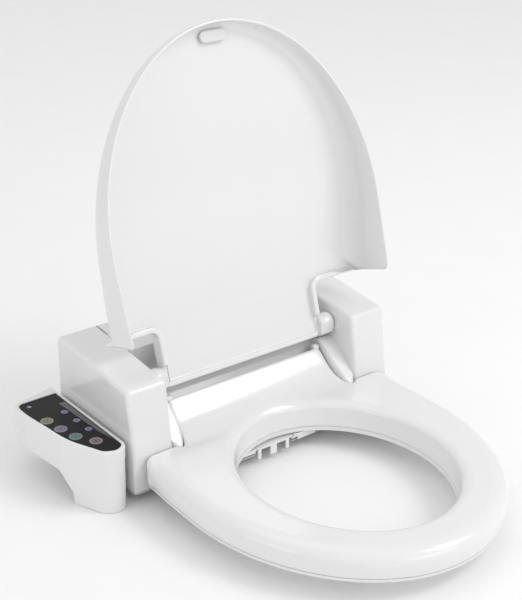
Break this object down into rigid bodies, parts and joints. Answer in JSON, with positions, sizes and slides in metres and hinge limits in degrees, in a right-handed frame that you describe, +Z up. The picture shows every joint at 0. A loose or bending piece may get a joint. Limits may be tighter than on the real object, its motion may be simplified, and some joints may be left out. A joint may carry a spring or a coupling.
{
  "type": "electric bidet seat",
  "caption": "Electric bidet seat with a raised deep lid, oval seat ring, rear body between two towers, retracting wash wands and a side control arm with keys.",
  "frame": {"origin": "midway between the two bowl fixing holes, on the bowl top face (underside of the base)", "axes": "+Z up, front of the seat towards -Y, +X to the side away from the control arm, lid raised and seat down at rest"},
  "size_m": [0.4727, 0.511, 0.5184],
  "materials": {
    "white_gloss": "polished moulded ABS",
    "grey_plastic": "moulded, hidden",
    "black_plastic": "moulded, hidden",
    "black_gloss": "polished acrylic",
    "grey_metallic": "metallic ink",
    "smoked_window": "smoked, polished",
    "lamp": "polished",
    "soft_rubber": "soft",
    "steel": "drawn",
    "steel_core": "laminated",
    "foil": "rolled",
    "board_green": "lacquered",
    "nozzle_plastic": "polished",
    "brass_metal": "turned",
    "key_amber": "printed under gloss",
    "key_mauve": "printed under gloss",
    "key_teal": "printed under gloss",
    "key_pink": "printed under gloss",
    "key_lavender": "printed under gloss"
  },
  "bodies": {
    "base": {"main_cover": "white_gloss", "base_chassis": "grey_plastic", "mounting_plate": "grey_plastic", "release_spring": "steel", "lid_pins": "steel", "seat_pins": "steel", "lid_dampers": "black_plastic", "seat_dampers": "black_plastic", "arm_lower_shell": "white_gloss", "arm_upper_shell": "white_gloss", "display_plate": "black_gloss", "trim_strip": "grey_metallic", "receiver_window": "smoked_window", "lamp_lens": "lamp", "arm_board": "board_green", "arm_switches": "black_plastic", "arm_screws": "steel", "nozzle_cradle": "grey_plastic", "nozzle_guard": "white_gloss", "nozzle_motor": "steel", "water_tank": "grey_plastic", "heating_element": "steel", "float_stem": "steel", "inlet_fitting": "brass_metal", "inlet_filter": "steel", "inlet_valve": "black_plastic", "fan_housing": "grey_plastic", "fan_motor": "steel", "air_duct": "grey_plastic", "air_heater": "foil", "flap_hanger": "white_gloss", "deodoriser": "black_plastic", "main_board": "board_green", "board_parts": "black_plastic", "transformer": "steel_core", "power_gland": "soft_rubber", "chassis_screws": "steel"},
    "seat": {"seat_upper_shell": "white_gloss", "seat_lower_shell": "white_gloss", "seat_heater": "foil", "seat_bumpers": "soft_rubber", "seat_screws": "steel"},
    "lid": {"lid_shell": "white_gloss", "lid_inner_panel": "white_gloss", "lid_bumper": "soft_rubber"},
    "rear_nozzle": {"nozzle_rear_wash": "nozzle_plastic"},
    "front_nozzle": {"nozzle_front_wash": "nozzle_plastic"},
    "gear": {"nozzle_gear": "nozzle_plastic"},
    "float": {"float_switch": "nozzle_plastic"},
    "fan": {"fan_wheel": "black_plastic"},
    "flap": {"air_flap": "white_gloss"},
    "button": {"release_button": "white_gloss"},
    "wash_key_1_cap": {"wash_key_1": "key_amber"},
    "wash_key_2_cap": {"wash_key_2": "key_mauve"},
    "wash_key_3_cap": {"wash_key_3": "key_teal"},
    "wash_key_4_cap": {"wash_key_4": "key_pink"},
    "set_key_1_cap": {"set_key_1": "key_lavender"},
    "set_key_2_cap": {"set_key_2": "key_lavender"},
    "set_key_3_cap": {"set_key_3": "key_lavender"}
  },
  "joints": [
    {"name": "lid_hinge", "type": "hinge", "parent": "base", "child": "lid", "pos_m": [0, -0.037, 0.108], "axis": [-1, 0, 0], "range_deg": [-107.8, 0]},
    {"name": "seat_hinge", "type": "hinge", "parent": "base", "child": "seat", "pos_m": [0, -0.04, 0.079], "axis": [-1, 0, 0], "range_deg": [0, 94]},
    {"name": "rear_nozzle_slide", "type": "slide", "parent": "base", "child": "rear_nozzle", "axis": [0, -0.9063, -0.4226], "range_m": [0, 0.085]},
    {"name": "front_nozzle_slide", "type": "slide", "parent": "base", "child": "front_nozzle", "axis": [0, -0.9063, -0.4226], "range_m": [0, 0.085]},
    {"name": "nozzle_gear_turn", "type": "hinge", "parent": "base", "child": "gear", "pos_m": [-0.03225, -0.022, 0.036], "axis": [1, 0, 0], "continuous": true},
    {"name": "float_slide", "type": "slide", "parent": "base", "child": "float", "axis": [0, 0, 1], "range_m": [-0.04, 0.03]},
    {"name": "fan_spin", "type": "hinge", "parent": "base", "child": "fan", "pos_m": [0.076, 0.03, 0.064], "axis": [1, 0, 0], "continuous": true},
    {"name": "air_flap_swing", "type": "hinge", "parent": "base", "child": "flap", "pos_m": [0.05, -0.1036, 0.0086], "axis": [-1, 0, 0], "range_deg": [0, 70]},
    {"name": "release_button_press", "type": "slide", "parent": "base", "child": "button", "axis": [-1, 0, 0], "range_m": [0, 0.004], "stiffness_N_per_m": 600},
    {"name": "wash_key_1_press", "type": "slide", "parent": "base", "child": "wash_key_1_cap", "axis": [0, 0, -1], "range_m": [0, 0.0006], "stiffness_N_per_m": 400},
    {"name": "wash_key_2_press", "type": "slide", "parent": "base", "child": "wash_key_2_cap", "axis": [0, 0, -1], "range_m": [0, 0.0006], "stiffness_N_per_m": 400},
    {"name": "wash_key_3_press", "type": "slide", "parent": "base", "child": "wash_key_3_cap", "axis": [0, 0, -1], "range_m": [0, 0.0006], "stiffness_N_per_m": 400},
    {"name": "wash_key_4_press", "type": "slide", "parent": "base", "child": "wash_key_4_cap", "axis": [0, 0, -1], "range_m": [0, 0.0006], "stiffness_N_per_m": 400},
    {"name": "set_key_1_press", "type": "slide", "parent": "base", "child": "set_key_1_cap", "axis": [0, 0, -1], "range_m": [0, 0.0006], "stiffness_N_per_m": 400},
    {"name": "set_key_2_press", "type": "slide", "parent": "base", "child": "set_key_2_cap", "axis": [0, 0, -1], "range_m": [0, 0.0006], "stiffness_N_per_m": 400},
    {"name": "set_key_3_press", "type": "slide", "parent": "base", "child": "set_key_3_cap", "axis": [0, 0, -1], "range_m": [0, 0.0006], "stiffness_N_per_m": 400}
  ]
}
